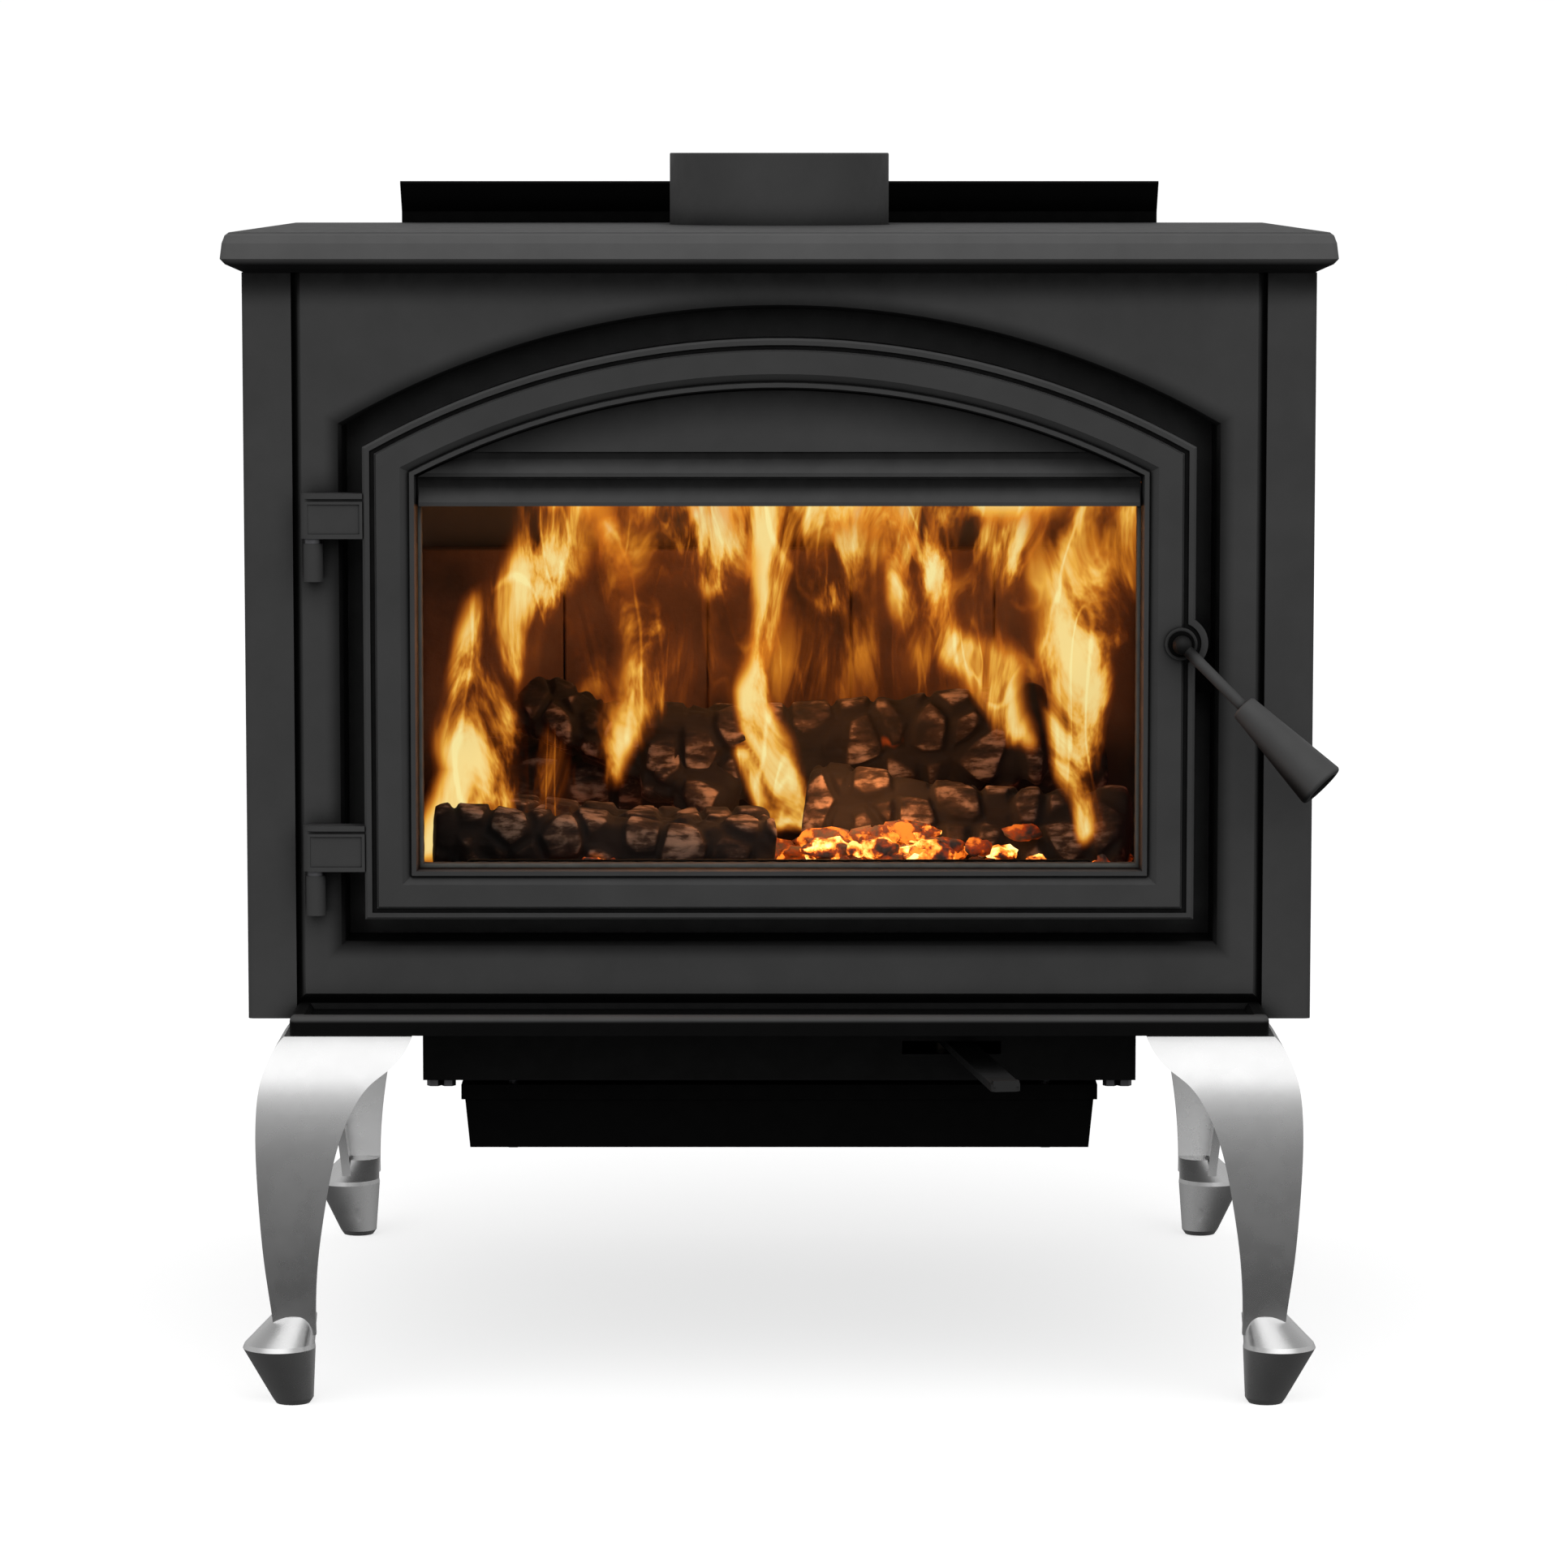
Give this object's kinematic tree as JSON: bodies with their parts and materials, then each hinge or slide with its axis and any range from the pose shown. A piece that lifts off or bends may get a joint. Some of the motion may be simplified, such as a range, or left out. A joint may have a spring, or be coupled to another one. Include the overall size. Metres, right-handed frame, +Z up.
{
  "type": "wood burning stove",
  "caption": "Free-standing wood burning stove with arched glass door, side-swinging lever handle, flue collar, air control slide and curved plated legs.",
  "frame": {"origin": "on the floor, under the centre of the stove's overall box", "axes": "+Z up, -Y towards the user in front of the door, +X to the user's right, the handle side"},
  "size_m": [0.7214, 0.6671, 0.806],
  "materials": {
    "charcoal_paint": "high-temperature matt charcoal paint",
    "black_paint": "high-temperature matt black paint",
    "bright_nickel": "satin nickel plate on cast iron",
    "ceramic_glass": "clear ceramic fire glass",
    "sealing_rope": "braided glass-fibre rope and tape",
    "firebrick": "porous refractory brick, sooted",
    "vermiculite_board": "pressed refractory board",
    "ceramic_blanket": "ceramic wool",
    "stainless_steel": "heat-tinted stainless steel",
    "galvanised_sheet": "matt black painted sheet",
    "zinc_hardware": "blackened zinc plate"
  },
  "bodies": {
    "stove": {"firebox_shell": "charcoal_paint", "face_plate": "charcoal_paint", "top_plate": "charcoal_paint", "flue_collar": "charcoal_paint", "left_side_panel": "charcoal_paint", "right_side_panel": "charcoal_paint", "hinge_knuckles": "charcoal_paint", "base_plate": "charcoal_paint", "door_jamb": "black_paint", "air_wash_deflector": "black_paint", "boost_air_housing": "black_paint", "rear_air_duct": "black_paint", "top_deflector": "black_paint", "air_box": "black_paint", "bottom_heat_shield": "black_paint", "latch_keeper": "black_paint", "shield_spacers": "black_paint", "front_left_leg": "bright_nickel", "front_right_leg": "bright_nickel", "rear_left_leg": "bright_nickel", "rear_right_leg": "bright_nickel", "collar_gasket": "sealing_rope", "floor_bricks": "firebrick", "left_bricks": "firebrick", "right_bricks": "firebrick", "rear_bricks": "firebrick", "baffle_boards": "vermiculite_board", "baffle_blanket": "ceramic_blanket", "secondary_air_manifold": "stainless_steel", "secondary_air_tubes": "stainless_steel", "brick_retainers": "stainless_steel", "rear_heat_shield": "galvanised_sheet", "collar_bolts": "zinc_hardware", "rear_screws": "zinc_hardware", "deflector_screws": "zinc_hardware", "air_box_bolts": "zinc_hardware", "lever_pivot_bolt": "zinc_hardware", "tray_hanger_bolts": "zinc_hardware", "leg_bolts": "zinc_hardware", "hinge_pins": "zinc_hardware", "hinge_washers": "zinc_hardware", "keeper_screws": "zinc_hardware"},
    "door": {"door_frame": "charcoal_paint", "door_arch_panel": "charcoal_paint", "door_glass": "ceramic_glass", "glass_gasket": "sealing_rope", "glass_retainers": "black_paint", "arch_panel_clips": "black_paint", "retainer_screws": "zinc_hardware", "door_gasket": "sealing_rope", "hinge_lugs": "charcoal_paint"},
    "handle": {"handle_rod": "black_paint", "handle_grip": "black_paint", "grip_cap": "black_paint", "spindle_washer": "zinc_hardware", "latch_spacer": "zinc_hardware", "latch_cam": "zinc_hardware", "latch_nut": "zinc_hardware"},
    "air_control": {"air_control_lever": "black_paint", "air_damper_plate": "stainless_steel"}
  },
  "joints": [
    {"name": "door_hinge", "type": "hinge", "parent": "stove", "child": "door", "pos_m": [-0.302, -0.243, 0.45], "axis": [0, 0, -1], "range_deg": [0, 120]},
    {"name": "latch_turn", "type": "hinge", "parent": "door", "child": "handle", "pos_m": [0.26, -0.248, 0.49], "axis": [0, 1, 0], "range_deg": [-45, 45]},
    {"name": "air_slide", "type": "hinge", "parent": "stove", "child": "air_control", "pos_m": [0.11, -0.073, 0.212], "axis": [0, 0, 1], "range_deg": [-16, 8]}
  ]
}
